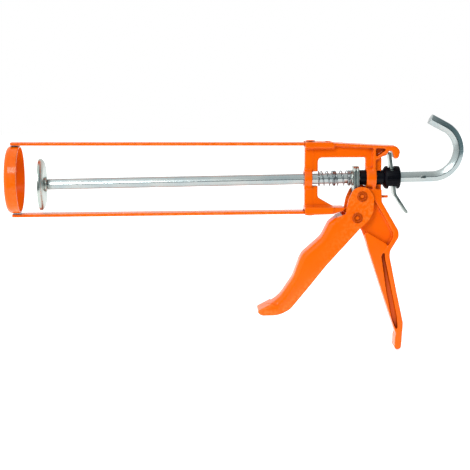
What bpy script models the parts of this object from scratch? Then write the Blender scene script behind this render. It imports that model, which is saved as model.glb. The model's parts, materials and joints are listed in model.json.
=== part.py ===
"""A skeleton caulking gun: cast body, strip frame, hex push rod, pressed trigger and release catch.

Drawing axes, in millimetres: X runs from the front ring (-X) to the rod's hook (+X), with 0 at the
cast body's front face. Z is up, with 0 on the barrel line. Y is across, with 0 on the mid-plane.
The finished model stands in metres, with its origin in the middle of the hand grip.
"""

import math

import bmesh
import bpy
from mathutils import Matrix, Vector

MM = 0.001
GAP = 0.3  # between pieces that touch

# The grip point, which becomes the origin.
GRIP_X = 66.0
GRIP_Z = -85.0

# Cradle: front ring and the two strips.
CRADLE_LENGTH = 231.0  # ring's front face to the cast body
RING_R = 26.2
RING_DEPTH = 9.7
RING_WALL = 1.3
RING_CORNER = 3.2
RING_HOLE_R = 19.5
STRIP_WIDTH = 12.0
STRIP_THICK = 2.2
STRIP_SPLAY = 1.1  # how much higher the front end is than the rear end
STRIP_IN_LUG = 20.0
STRIP_RIVET_X = 4.5
STRIP_RIVET_R = 1.5
STRIP_RIVET_HEAD_R = 3.9
STRIP_REAR_Z = RING_R + STRIP_THICK / 2 + 2 * GAP - STRIP_SPLAY

# Push rod: hexagonal bar, bent into a hook.
ROD_FLATS = 8.0
ROD_CORNER = ROD_FLATS / 2 / math.cos(math.radians(30))
ROD_DROOP = math.radians(0.85)
ROD_NOSE_X = -200.4
ROD_PIVOT_X = 60.0  # the middle of the bush, where the droop turns
HOOK_R = 20.6
HOOK_X = 100.6
HOOK_END = math.radians(61.0)
HOOK_TAIL = 13.5
EAR_X = 93.0
DISC_R = 20.0
DISC_THICK = 1.8
COLLAR_R = 5.8
COLLAR_THICK = 2.0
NOSE_R = 2.6
DISC_REAR_X = ROD_NOSE_X - COLLAR_THICK - 2 * GAP

# Trigger and its rivets. Outlines of the trigger and the handle are measured from the pivot.
PIVOT = (40.9, -RING_R - 4.6)
PIN = (PIVOT[0] + 3.6, PIVOT[1] + 17.0)  # the roller passes under the rear plate
CHEEK_GAP = 16.0
SHEET = 1.6
CHEEK = CHEEK_GAP / 2 + SHEET  # outer face of an ear
FRONT_ROUND = 4.0
SHANK_R = 2.4
RIVET_HEAD_R = 4.2
ROLLER_R = 3.6

# Cast body.
WALL_X = 6.0  # front wall
WEB = 7.0
FLANGE = CHEEK_GAP - 1.0  # width of the flanges, between the trigger's ears
LUG_WIDTH = STRIP_WIDTH + 4.4
LUG_SKIN = 0.8  # over the strip
LUG_FLOOR = 2.0  # under the strip
LUG_END = STRIP_IN_LUG + 2.8
REAR_WALL_X = 47.6
REAR_WALL_END = 55.6
WINDOW_X = 10.3
WINDOW_TOP = 16.0
PEG = (58.3, -15.1)
PEG_R = 1.15
PEG_LENGTH = 7.9

# Bush, drive plates and springs.
BUSH_BORE_R = ROD_CORNER + 0.4
SLEEVE_R = BUSH_BORE_R + 0.9
FRONT_BORE_R = ROD_CORNER + 1.0
PLATE_HOLE_R = ROD_CORNER + 0.5
PLATE_TOP = PLATE_HOLE_R + 4.4
PLATE_WIDTH = 2 * PLATE_HOLE_R + 3.4
FRONT_PLATE_THICK = 2.4
FRONT_PLATE_END = PIN[1] - 6.0  # its lower end, below the roller
REAR_PLATE_THICK = 2.0
REAR_PLATE_END_Z = PIN[1] + 4.9  # its lower end, above the roller
SPRING_WIRE = 1.0
MAIN_SPRING_X = WINDOW_X + 0.1
MAIN_SPRING_R = ROD_CORNER + SPRING_WIRE / 2 + 0.65
SEAT_THICK = 0.8
PLATE_REAR_X = PIN[0] - ROLLER_R - 2 * GAP  # rear face of the long front plate
PLATE_FRONT_X = PLATE_REAR_X - FRONT_PLATE_THICK
REAR_PLATE_X = PLATE_REAR_X + GAP
REAR_PLATE_END = REAR_PLATE_X + REAR_PLATE_THICK
BUSH_X = REAR_PLATE_END + 2 * GAP

# Catch.
HEAD_X = 61.6
HEAD_REAR = 74.9
HEAD_R = SLEEVE_R + 3.1
POCKET_X = 64.0  # the catch spring's pocket in the head
POCKET_END = 67.4
POCKET_R = HEAD_R - 1.6
CATCH_WIRE = 0.7
CATCH_SPRING_R = POCKET_R - CATCH_WIRE / 2 - 0.6
SOCKET = (66.2, 19.4)
SOCKET_R = 2.0
LEVER_TILT = math.radians(8.0)
LEVER_SWING = math.radians(6.0)
LEVER_THICK = 2.2
LEVER_WIDTH = 2 * PLATE_HOLE_R + 2.4
LEVER_TOP = 0.4  # how far the lever goes into the socket
LEVER_LENGTH = 33.0
TAB_WIDTH = 15.0
TAB_ANGLE = math.radians(25.0)
TAB_LENGTH = 17.5


def clear_scene():
    """Empties the scene and leaves two collections: the gun's pieces, and their cutting solids."""
    for obj in list(bpy.data.objects):
        bpy.data.objects.remove(obj)
    for name in ("caulking_gun", "cutters"):
        bpy.context.scene.collection.children.link(bpy.data.collections.new(name))
    layers = bpy.context.view_layer.layer_collection.children
    bpy.context.view_layer.active_layer_collection = layers["cutters"]


def place(x, y, z):
    """A drawing point in world metres."""
    return Vector(((x - GRIP_X) * MM, y * MM, (z - GRIP_Z) * MM))


def material(name, colour, roughness, metallic):
    mat = bpy.data.materials.new(name)
    mat.use_nodes = True
    shader = mat.node_tree.nodes["Principled BSDF"]
    shader.inputs["Base Color"].default_value = (*colour, 1)
    shader.inputs["Roughness"].default_value = roughness
    shader.inputs["Metallic"].default_value = metallic
    return mat


def to_mesh(obj):
    """Replaces an object by the welded mesh that its curve or modifiers make."""
    graph = bpy.context.evaluated_depsgraph_get()
    mesh = bpy.data.meshes.new_from_object(obj.evaluated_get(graph))
    mesh.transform(obj.matrix_world)
    name = obj.name
    bpy.data.objects.remove(obj)
    bm = bmesh.new()
    bm.from_mesh(mesh)
    bmesh.ops.remove_doubles(bm, verts=bm.verts, dist=1e-6)
    bmesh.ops.recalc_face_normals(bm, faces=bm.faces)
    bm.to_mesh(mesh)
    bm.free()
    made = bpy.data.objects.new(name, mesh)
    bpy.context.collection.objects.link(made)
    return made


def rounded(corners, step=math.radians(18)):
    """An outline's points, from corners (x, z, fillet radius). A zero radius keeps the corner sharp."""
    points = []
    count = len(corners)
    for i, (x, z, radius) in enumerate(corners):
        here = Vector((x, z))
        back = Vector(corners[i - 1][:2]) - here
        ahead = Vector(corners[(i + 1) % count][:2]) - here
        half = back.angle(ahead) / 2
        if radius <= 0 or half > math.radians(88):
            points.append(here)
            continue
        reach = min(radius / math.tan(half), 0.49 * min(back.length, ahead.length))
        radius = reach * math.tan(half)
        centre = here + (back.normalized() + ahead.normalized()).normalized() * radius / math.sin(half)
        start = here + back.normalized() * reach - centre
        end = here + ahead.normalized() * reach - centre
        turn = start.angle_signed(end)
        steps = max(2, math.ceil(abs(turn) / step))
        for k in range(steps + 1):
            points.append(centre + Matrix.Rotation(-turn * k / steps, 2) @ start)
    return points


def plate(name, corners, low, high):
    """A flat outline in the XZ plane, from y = low to y = high."""
    curve = bpy.data.curves.new(name, "CURVE")
    curve.dimensions = "2D"
    curve.fill_mode = "BOTH"
    curve.extrude = (high - low) / 2 * MM
    points = rounded(corners)
    spline = curve.splines.new("POLY")
    spline.points.add(len(points) - 1)
    for point, (x, z) in zip(spline.points, points):
        point.co = (x * MM, z * MM, 0, 1)
    spline.use_cyclic_u = True
    obj = bpy.data.objects.new(name, curve)
    bpy.context.collection.objects.link(obj)
    obj.matrix_world = Matrix.Translation(place(0, (low + high) / 2, 0)) @ Matrix.Rotation(
        math.radians(90), 4, "X"
    )
    bpy.context.view_layer.update()
    return to_mesh(obj)


def block(name, x0, x1, y0, y1, z0, z1):
    bm = bmesh.new()
    bmesh.ops.create_cube(bm, size=1)
    size = Matrix.Diagonal(((x1 - x0) * MM, (y1 - y0) * MM, (z1 - z0) * MM, 1))
    middle = place((x0 + x1) / 2, (y0 + y1) / 2, (z0 + z1) / 2)
    bmesh.ops.transform(bm, matrix=Matrix.Translation(middle) @ size, verts=bm.verts)
    mesh = bpy.data.meshes.new(name)
    bm.to_mesh(mesh)
    bm.free()
    obj = bpy.data.objects.new(name, mesh)
    bpy.context.collection.objects.link(obj)
    return obj


def turned(name, profile, centre, axis, steps=32):
    """A solid of revolution from a (distance along the axis, radius) profile, closed or axis to axis."""
    mesh = bpy.data.meshes.new(name)
    points = [(radius * MM, 0, along * MM) for along, radius in profile]
    edges = [(i, i + 1) for i in range(len(points) - 1)]
    if profile[0][1] > 0 or profile[-1][1] > 0:
        edges.append((len(points) - 1, 0))
    mesh.from_pydata(points, edges, [])
    obj = bpy.data.objects.new(name, mesh)
    bpy.context.collection.objects.link(obj)
    screw = obj.modifiers.new("Turn", "SCREW")
    screw.steps = screw.render_steps = steps
    screw.use_merge_vertices = True
    screw.merge_threshold = 1e-5
    turn = Vector((0, 0, 1)).rotation_difference(Vector(axis)).to_matrix().to_4x4()
    obj.matrix_world = Matrix.Translation(place(*centre)) @ turn
    bpy.context.view_layer.update()
    return to_mesh(obj)


def cylinder(name, centre, axis, radius, length, steps=32):
    return turned(name, [(0, 0), (0, radius), (length, radius), (length, 0)], centre, axis, steps)


def combine(obj, tools, operation):
    """Booleans each tool into obj and removes it."""
    for tool in tools:
        modifier = obj.modifiers.new(operation, "BOOLEAN")
        modifier.operation = operation
        modifier.object = tool
        bpy.context.view_layer.update()
        obj = to_mesh(obj)
        bpy.data.objects.remove(tool)
    return obj


def finish(obj, name, mat, origin=(0, 0, 0), tilt=None):
    """Names the piece, gives it its material and puts its origin at a drawing point."""
    if tilt is not None:
        pivot = place(ROD_PIVOT_X, 0, 0)
        obj.data.transform(
            Matrix.Translation(pivot) @ Matrix.Rotation(-tilt, 4, "Y") @ Matrix.Translation(-pivot)
        )
        here = Matrix.Rotation(-tilt, 4, "Y") @ (place(*origin) - pivot) + pivot
    else:
        here = place(*origin)
    obj.data.transform(Matrix.Translation(-here))
    obj.location = here
    obj.name = obj.data.name = name
    obj.data.materials.clear()
    obj.data.materials.append(mat)
    obj.data.shade_smooth()
    obj.data.set_sharp_from_angle(angle=math.radians(35))
    bpy.data.collections["caulking_gun"].objects.link(obj)
    bpy.data.collections["cutters"].objects.unlink(obj)
    return obj


def from_pivot(corners):
    """Corners (x, z, fillet radius) that are measured from the trigger's pivot."""
    return [(PIVOT[0] + x, PIVOT[1] + z, radius) for x, z, radius in corners]


def strip_z(x):
    """Height of a strip's centre line above the barrel line."""
    return STRIP_REAR_Z - STRIP_SPLAY * x / CRADLE_LENGTH


def frame_strip(name, side, mat):
    front = -CRADLE_LENGTH + 3
    half = STRIP_THICK / 2
    corners = [
        (front, side * (strip_z(front) - half), 0.5),
        (STRIP_IN_LUG, side * (strip_z(STRIP_IN_LUG) - half), 0),
        (STRIP_IN_LUG, side * (strip_z(STRIP_IN_LUG) + half), 0),
        (front, side * (strip_z(front) + half), 0.5),
    ]
    strip = plate(name, corners, -STRIP_WIDTH / 2, STRIP_WIDTH / 2)
    start = side * (STRIP_REAR_Z - 5)
    hole = cylinder("hole", (STRIP_RIVET_X, 0, start), (0, 0, side), STRIP_RIVET_R + GAP, 10, 20)
    return finish(combine(strip, [hole], "DIFFERENCE"), name, mat)


def lug_floor():
    """Height of a lug's inner face above the barrel line."""
    return strip_z(0) - STRIP_THICK / 2 - LUG_FLOOR


def strip_rivet(name, side, mat):
    """Fixes a strip in its lug. Its domed head stands on the lug's outer face."""
    foot = lug_floor() + 0.3
    seat = strip_z(STRIP_RIVET_X) + STRIP_THICK / 2 + LUG_SKIN + GAP - foot
    profile = [(0, 0), (0, STRIP_RIVET_R), (seat, STRIP_RIVET_R), (seat, STRIP_RIVET_HEAD_R)]
    profile += [(seat + 0.4, STRIP_RIVET_HEAD_R - 0.1), (seat + 0.7, 2.6), (seat + 0.8, 0)]
    rivet = turned(name, profile, (STRIP_RIVET_X, 0, side * foot), (0, 0, side), 20)
    return finish(rivet, name, mat)


def front_ring(mat):
    """Pressed cup that the cartridge's nose end sits in."""
    corner = RING_CORNER
    inner = corner - RING_WALL
    profile = [(0, RING_HOLE_R), (0, RING_R - corner)]
    for k in range(1, 5):
        turn = math.radians(90) * k / 5
        profile.append((corner * (1 - math.cos(turn)), RING_R - corner + corner * math.sin(turn)))
    profile += [(corner, RING_R), (RING_DEPTH, RING_R), (RING_DEPTH, RING_R - RING_WALL)]
    profile.append((corner, RING_R - RING_WALL))
    for k in range(4, 0, -1):
        turn = math.radians(90) * k / 5
        profile.append((corner - inner * math.cos(turn), RING_R - corner + inner * math.sin(turn)))
    profile += [(RING_WALL, RING_R - corner), (RING_WALL, RING_HOLE_R)]
    ring = turned("ring", profile, (-CRADLE_LENGTH, 0, 0), (1, 0, 0), 48)
    return finish(ring, "front_ring", mat)


def lug(side):
    """Holds a strip's rear end."""
    high = strip_z(0) + STRIP_THICK / 2 + LUG_SKIN
    low = lug_floor()
    half = LUG_WIDTH / 2
    if side > 0:
        corners = [(-0.2, low, 0), (LUG_END - 0.8, low, 1), (LUG_END, low + 1.6, 1)]
        corners += [(LUG_END - 1, high - 0.4, 1), (-0.2, high, 0.8)]
        return plate("lug", corners, -half, half)
    corners = [(-0.2, -high, 0.8), (LUG_END, -high + 0.7, 2)]
    corners += [(LUG_END, 1.3 - low, 0), (-0.2, 1.3 - low, 0)]
    return plate("lug", corners, -half, half)


def toe():
    """Runs from the lower lug back to the trigger. It stays between the trigger's ears."""
    low = lug_floor() - 1.0
    corners = [(LUG_END - 6, -low - 5.2, 0), (LUG_END, -low - 5.2, 2), (31.4, -low - 2.5, 1)]
    corners += [(31.4, -low, 0), (LUG_END - 6, -low, 0)]
    half = CHEEK_GAP / 2 - 0.8
    return plate("toe", corners, -half, half)


def body_web():
    """The body's middle sheet, with the window that the plates and the trigger's pin work in."""
    top = RING_R - 0.8
    outline = [(0.5, -top, 0), (0.5, top, 0), (24, top - 0.2, 0), (69.5, 24.2, 2), (71.2, 18.2, 2)]
    outline += [(64.8, 17.8, 1), (59.6, 16.2, 1), (59.6, PEG[1] - 2.9, 0)]
    outline += from_pivot([(31.2, -10.3, 4), (31.3, -15.6, 4), (25.6, -25.9, 3), (30.5, -60.7, 0)])
    outline += from_pivot([(35.2, -86.0, 0), (34.2, -99.2, 0), (30.6, -85.6, 0), (16.0, -40.3, 0)])
    outline += from_pivot([(4.0, -9.8, 2), (-3.9, -5.9, 4), (-8.9, 4.1, 3), (-13.8, 4.1, 0)])
    web = plate("web", outline, -WEB / 2, WEB / 2)
    window = [(WINDOW_X, WINDOW_TOP, 3), (REAR_WALL_X + 0.3, WINDOW_TOP, 0), (REAR_WALL_X + 0.3, -9, 0)]
    window += [(REAR_WALL_X + 1, -9, 0)]
    window += from_pivot([(8.4, 12.6, 1), (5.4, 7.4, 2)])
    window += from_pivot([(-10.6, 7.0, 1), (-15.6, 7.0, 1)])
    window += [(WINDOW_X, -15.2, 3)]
    return combine(web, [plate("window", window, -9, 9)], "DIFFERENCE")


def hand_grip():
    """Rear flange, raised side panel and finger tip of the handle."""
    half = FLANGE / 2
    rear = [(48.6, -8.6, 0), (60, -8.6, 0)]
    rear += from_pivot([(19.6, 12.2, 2), (33.0, -10.7, 5), (33.5, -15.6, 5), (26.8, -26.6, 4)])
    rear += from_pivot([(26.4, -31.0, 6), (32.2, -58.7, 0), (38.1, -85.1, 8), (36.8, -106.2, 3)])
    rear += from_pivot([(31.6, -107.2, 2.5), (31.9, -97.1, 1), (33.9, -89.1, 3), (33.0, -79.1, 0)])
    rear += from_pivot([(29.0, -60.7, 0), (22.8, -33.1, 2), (22.5, -27.5, 2), (28.9, -16.1, 4)])
    rear += from_pivot([(28.9, -12.6, 3), (20.4, 2.9, 1)])
    panel = from_pivot([(5.1, -9.8, 2), (25.4, -22.1, 2), (20.1, -30.8, 3), (24.4, -58.8, 0)])
    panel += from_pivot([(29.5, -83.3, 0), (34.3, -93.3, 2), (32.7, -94.2, 2), (18.1, -51.4, 0)])
    panel += from_pivot([(9.6, -26.1, 0)])
    return [
        plate("rear_flange", rear, 0.05 - half, half - 0.05),
        plate("panel", panel, -half + 0.9, half - 0.9),
    ]


def catch_finger():
    """Top flange, ribs and the rounded end that the catch lever hangs from."""
    half = FLANGE / 2
    x, z = SOCKET
    high = RING_R + 1.6
    flange = [(20, high, 0), (20, high - 2.0, 0), (x - 1.2, z + 3.6, 0), (x - 1.2, z + 5.8, 0)]
    upright = [(53.1, -8.4, 0), (55.3, -8.4, 0), (55.3, 24.6, 0), (53.1, 24.6, 0)]
    brace = [(54.9, 16.2, 0), (56.4, 14.5, 0), (x, z + 1.4, 0), (x - 1.0, z + 4.1, 0)]
    end = [(x - 3.8, z + 6.0, 0), (x + 4.8, z + 5.8, 3.6)]
    end += [(x + 8.0, z + 2.0, 3.6), (x + 6.6, z - 3.8, 2)]
    end += [(x + 2.8, z - 4.4, 1), (x + 2.8, z - 1.6, 0), (x - 3.2, z - 0.2, 0)]
    return [
        plate("flange", flange, -half, half),
        plate("upright", upright, 0.6 - half, half - 0.6),
        plate("brace", brace, 0.5 - half, half - 0.5),
        plate("end", end, -half - 0.1, half + 0.1),
    ]


def body_casting(mat):
    """Die-cast body and handle in one piece."""
    half = FLANGE / 2
    across = (0, 1, 0)
    along = (1, 0, 0)
    x, z = PIVOT
    wall = WEB / 2 + 0.3
    top = STRIP_REAR_Z - 0.15
    boss = REAR_WALL_X + 0.6
    added = [
        block("front_wall", 0, WALL_X, -wall, wall, -top, top),
        lug(1),
        lug(-1),
        toe(),
        block("rear_wall", REAR_WALL_X, REAR_WALL_END, 0.1 - wall, wall - 0.1, -8.8, WINDOW_TOP + 0.7),
        block("rear_web", REAR_WALL_END - 0.4, 60.2, 0.2 - wall, wall - 0.2, -8.5, WINDOW_TOP - 0.8),
        cylinder("front_boss", (-0.4, 0, -0.5), along, FRONT_BORE_R + 2.8, WALL_X + 0.1),
        cylinder("rear_boss", (boss, 0, 0), along, SLEEVE_R + 3.2, REAR_WALL_END - boss + 0.2),
        cylinder("pivot_boss", (x, -half - 0.15, z), across, SHANK_R + 5, FLANGE + 0.3),
        *catch_finger(),
        *hand_grip(),
        cylinder("peg", (PEG[0], 0, PEG[1]), along, PEG_R, PEG_LENGTH, 14),
    ]
    removed = [
        cylinder("front_bore", (-1, 0, -0.5), along, FRONT_BORE_R, 13),
        cylinder("rear_bore", (REAR_WALL_X - 1, 0, 0), along, SLEEVE_R + GAP, 16),
        block("rod_notch", WALL_X, WINDOW_X + 2, -half, half, -FRONT_BORE_R - 0.5, FRONT_BORE_R - 0.5),
        cylinder("pivot_hole", (x, -10, z), across, SHANK_R + GAP, 20),
        cylinder("socket", (SOCKET[0], -10, SOCKET[1]), across, SOCKET_R, 20, 24),
        block("mouth", SOCKET[0] - SOCKET_R, SOCKET[0] + SOCKET_R + 0.3, -10, 10, 10, SOCKET[1]),
    ]
    for side in (-1, 1):
        middle = side * strip_z(STRIP_IN_LUG / 2)
        reach = STRIP_THICK / 2 + GAP + 0.1
        edge = STRIP_WIDTH / 2 + GAP
        slot_z = (middle - reach, middle + reach)
        removed.append(block("slot", -1, STRIP_IN_LUG + GAP, -edge, edge, *slot_z))
        start = side * (lug_floor() - GAP)
        foot = (STRIP_RIVET_X, 0, start)
        removed.append(cylinder("hole", foot, (0, 0, side), STRIP_RIVET_R + GAP, 9, 20))
    body = combine(body_web(), added, "UNION")
    return finish(combine(body, removed, "DIFFERENCE"), "body_casting", mat)


def trigger_front():
    """The trigger's front edge, from the tip up to the sheet's top edge."""
    edge = [(-78.9, -74.0, 1.5), (-61.5, -64.8, 26), (-50.0, -47.7, 24), (-43.5, -29.6, 16)]
    edge += [(-27.8, -15.6, 14), (-21.6, -3.5, 8), (-15.4, 0.6, 4)]
    return edge


def trigger(mat):
    """Pressed channel, open at the rear, with two ears that straddle the body."""
    ears = [(-9.2, 3.0, 1.5), (-7.2, 14.0, 10), (-2.8, 24.2, 8), (8.2, 24.3, 8), (13.2, 16.5, 8)]
    rear = [(12.4, 5.0, 9), (9.6, -1.2, 6), (2.4, -8.3, 3), (-24.4, -38.0, 60), (-36.3, -53.0, 30)]
    rear += [(-52.3, -72.5, 14), (-61.2, -77.2, 20), (-75.1, -77.4, 6)]
    channel = plate("channel", from_pivot(trigger_front() + ears + rear), -CHEEK, CHEEK)
    round_front(channel, CHEEK, FRONT_ROUND)
    inside = [(-74.2, -73.2, 1)]
    inside += [(x + SHEET * 1.25, z - SHEET * 0.95, r) for x, z, r in trigger_front()[1:]]
    inside += [(-11.6, -0.6, 0), (-11.6, 11.6, 0), (-8.4, 29.6, 0), (23.6, 29.6, 0), (23.6, -8.4, 0)]
    inside += [(-12.4, -46.4, 0), (-37.4, -80.4, 0), (-62.4, -90.4, 0), (-72.8, -76.8, 3)]
    half = CHEEK_GAP / 2
    hollow = plate("hollow", from_pivot(inside), -half, half)
    round_front(hollow, half, FRONT_ROUND - SHEET)
    holes = [
        cylinder("hole", (x, -12, z), (0, 1, 0), SHANK_R + GAP, 24) for x, z in (PIVOT, PIN)
    ]
    made = combine(channel, [hollow, *holes], "DIFFERENCE")
    return finish(made, "trigger", mat, (PIVOT[0], 0, PIVOT[1]))


def round_front(obj, half, radius):
    """Rounds the two long edges on the trigger's front, below its top edge."""
    bm = bmesh.new()
    bm.from_mesh(obj.data)
    pivot = place(PIVOT[0], 0, PIVOT[1])
    rim = []
    for edge in bm.edges:
        middle = (edge.verts[0].co + edge.verts[1].co) / 2 - pivot
        flat = abs(edge.verts[0].co.y - edge.verts[1].co.y) < 1e-6
        on_side = abs(abs(middle.y) / MM - half) < 0.01
        below_top = middle.x < -15.9 * MM and middle.z > -69.9 * MM
        facing = any(f.normal.x < -0.15 and f.normal.z > -0.3 for f in edge.link_faces)
        if flat and on_side and below_top and facing:
            rim.append(edge)
    bmesh.ops.bevel(
        bm, geom=rim, offset=radius * MM, segments=3, profile=0.5, affect="EDGES", material=-1
    )
    bm.to_mesh(obj.data)
    bm.free()


def hollow_rivet(name, centre, shoulder, mat, origin):
    """Tubular rivet across the gun, with a rolled head on each side."""
    head = [(0, RIVET_HEAD_R), (0.5, RIVET_HEAD_R), (0.6, 3.5), (1.1, 3.2), (1.1, 2.6), (0.6, 1.9)]
    head += [(-3.0, 1.9)]
    profile = [(shoulder + GAP + a, r) for a, r in head] + [(shoulder + GAP - 3.0, 0)]
    profile = [(-a, r) for a, r in reversed(profile)] + [(-shoulder - GAP, SHANK_R)] + [
        (shoulder + GAP, SHANK_R)
    ] + profile
    x, z = centre
    return finish(turned(name, profile, (x, 0, z), (0, 1, 0), 24), name, mat, origin)


def spring(name, x0, x1, radius, pitches, mat, wire=SPRING_WIRE):
    """A coil on the rod. Its turns are (share of the length, turns) runs, so that some lie close."""
    curve = bpy.data.curves.new(name, "CURVE")
    curve.dimensions = "3D"
    curve.bevel_depth = wire / 2 * MM
    curve.bevel_resolution = 2
    curve.use_fill_caps = True
    per_turn = 14
    total = sum(share for share, _ in pitches)
    points = []
    angle = 0.0
    x = x0 + wire / 2
    length = x1 - x0 - wire
    for share, turns in pitches:
        count = round(turns * per_turn)
        for _ in range(count):
            points.append((x, radius * math.sin(angle), radius * math.cos(angle)))
            angle += 2 * math.pi * turns / count
            x += length * share / total / count
    points.append((x, radius * math.sin(angle), radius * math.cos(angle)))
    spline = curve.splines.new("POLY")
    spline.points.add(len(points) - 1)
    for point, co in zip(spline.points, points):
        point.co = (*place(*co), 1)
    obj = bpy.data.objects.new(name, curve)
    bpy.context.collection.objects.link(obj)
    bpy.context.view_layer.update()
    return finish(to_mesh(obj), name, mat, (x0, 0, 0), tilt=ROD_DROOP)


def washer(name, x, thick, outer, inner, mat):
    ring = turned(name, [(0, inner), (0, outer), (thick, outer), (thick, inner)], (x, 0, 0), (1, 0, 0))
    return finish(ring, name, mat, (x, 0, 0), tilt=ROD_DROOP)


def drive_plate(name, x0, x1, bottom, mat):
    """Thick steel plate that the trigger's roller pushes. The rod passes through its hole."""
    half = PLATE_WIDTH / 2
    body = block(name, x0, x1, -half, half, bottom, PLATE_TOP)
    bm = bmesh.new()
    bm.from_mesh(body.data)
    upright = [e for e in bm.edges if abs(e.verts[0].co.x - e.verts[1].co.x) > 1e-6]
    bmesh.ops.bevel(
        bm, geom=upright, offset=3.2 * MM, segments=4, profile=0.5, affect="EDGES", material=-1
    )
    bm.to_mesh(body.data)
    bm.free()
    hole = cylinder("hole", (x0 - 1, 0, 0), (1, 0, 0), PLATE_HOLE_R, x1 - x0 + 2)
    return finish(combine(body, [hole], "DIFFERENCE"), name, mat, (x0, 0, 0), tilt=ROD_DROOP)


def push_rod(mat):
    """Hexagonal bar, bent at the rear into a pull hook, with two pinched ears as its stop."""
    path = [((ROD_NOSE_X, 0), 0.0), ((HOOK_X, 0), 0.0)]
    turns = 14
    for k in range(1, turns + 1):
        turn = (math.pi / 2 + HOOK_END) * k / turns
        path.append(((HOOK_X + HOOK_R * math.sin(turn), HOOK_R * (1 - math.cos(turn))), turn))
    (x, z), turn = path[-1]
    path.append(((x + HOOK_TAIL * math.cos(turn), z + HOOK_TAIL * math.sin(turn)), turn))
    bm = bmesh.new()
    rings = []
    for (x, z), turn in path:
        ring = []
        for k in range(6):
            around = math.radians(60 * k)
            side = ROD_CORNER * math.cos(around)
            up = ROD_CORNER * math.sin(around)
            ring.append(bm.verts.new(place(x - up * math.sin(turn), side, z + up * math.cos(turn))))
        rings.append(ring)
    for ring, following in zip(rings, rings[1:]):
        for k in range(6):
            n = (k + 1) % 6
            bm.faces.new((ring[k], ring[n], following[n], following[k]))
    bm.faces.new(rings[0])
    bm.faces.new(rings[-1])
    bmesh.ops.recalc_face_normals(bm, faces=bm.faces)
    mesh = bpy.data.meshes.new("rod")
    bm.to_mesh(mesh)
    bm.free()
    rod = bpy.data.objects.new("rod", mesh)
    bpy.context.collection.objects.link(rod)
    ears = []
    for side in (-1, 1):
        low = min(side * 3.2, side * (ROD_CORNER + 0.9))
        high = max(side * 3.2, side * (ROD_CORNER + 0.9))
        corners = [(EAR_X - 2.4, -0.5, 0), (EAR_X + 2.4, -0.5, 0)]
        corners += [(EAR_X + 1.6, 1.6, 0), (EAR_X - 1.6, 1.6, 0)]
        ears.append(plate("ear", corners, low, high))
    tip = DISC_REAR_X - DISC_THICK - 1.2
    nose = cylinder("nose", (tip, 0, 0), (1, 0, 0), NOSE_R, ROD_NOSE_X + 2 - tip, 24)
    rod = combine(rod, [*ears, nose], "UNION")
    return finish(rod, "push_rod", mat, (0, 0, 0), tilt=ROD_DROOP)


def piston_disc(mat):
    """Pressed disc that pushes the cartridge's plunger, with its rim turned forward."""
    rear = DISC_REAR_X
    front = rear - DISC_THICK
    profile = [(front, NOSE_R + GAP), (front, DISC_R - 3), (front - 1.6, DISC_R - 0.8)]
    profile += [(front - 1.4, DISC_R), (rear - 1.0, DISC_R), (rear, DISC_R - 1.6), (rear, NOSE_R + GAP)]
    disc = turned("disc", profile, (0, 0, 0), (1, 0, 0), 48)
    return finish(disc, "piston_disc", mat, (front, 0, 0), tilt=ROD_DROOP)


def lever_face(tilt, z, side):
    """Where the lever's front (-1) or rear (1) face is at a height, when it hangs at a tilt."""
    return SOCKET[0] + (SOCKET[1] - z) * math.tan(tilt) + side * LEVER_THICK / 2 / math.cos(tilt)


def catch_housing(mat):
    """Moulded bush: a sleeve through the body's rear wall, and a head that holds the catch."""
    profile = [
        (BUSH_X, SLEEVE_R),
        (HEAD_X, SLEEVE_R),
        (HEAD_X + 0.4, SLEEVE_R + 0.9),
        (HEAD_X + 2.0, HEAD_R - 0.8),
        (HEAD_X + 4.8, HEAD_R),
        (HEAD_REAR - 1, HEAD_R),
        (HEAD_REAR, HEAD_R - 1),
        (HEAD_REAR, BUSH_BORE_R),
        (POCKET_END, BUSH_BORE_R),
        (POCKET_END, POCKET_R),
        (POCKET_X, POCKET_R),
        (POCKET_X, BUSH_BORE_R),
        (BUSH_X, BUSH_BORE_R),
    ]
    housing = turned("housing", profile, (0, 0, 0), (1, 0, 0), 40)
    edge = LEVER_WIDTH / 2 + GAP
    reach = HEAD_R + 3
    released = LEVER_TILT - LEVER_SWING
    corners = [
        (lever_face(released, reach, -1) - 2 * GAP, reach, 0),
        (lever_face(released, -reach, -1) - 2 * GAP, -reach, 0),
        (lever_face(LEVER_TILT, -reach, 1) + 2 * GAP, -reach, 0),
        (lever_face(LEVER_TILT, reach, 1) + 2 * GAP, reach, 0),
    ]
    slot = plate("slot", corners, -edge, edge)
    return finish(combine(housing, [slot], "DIFFERENCE"), "catch_housing", mat)


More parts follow.
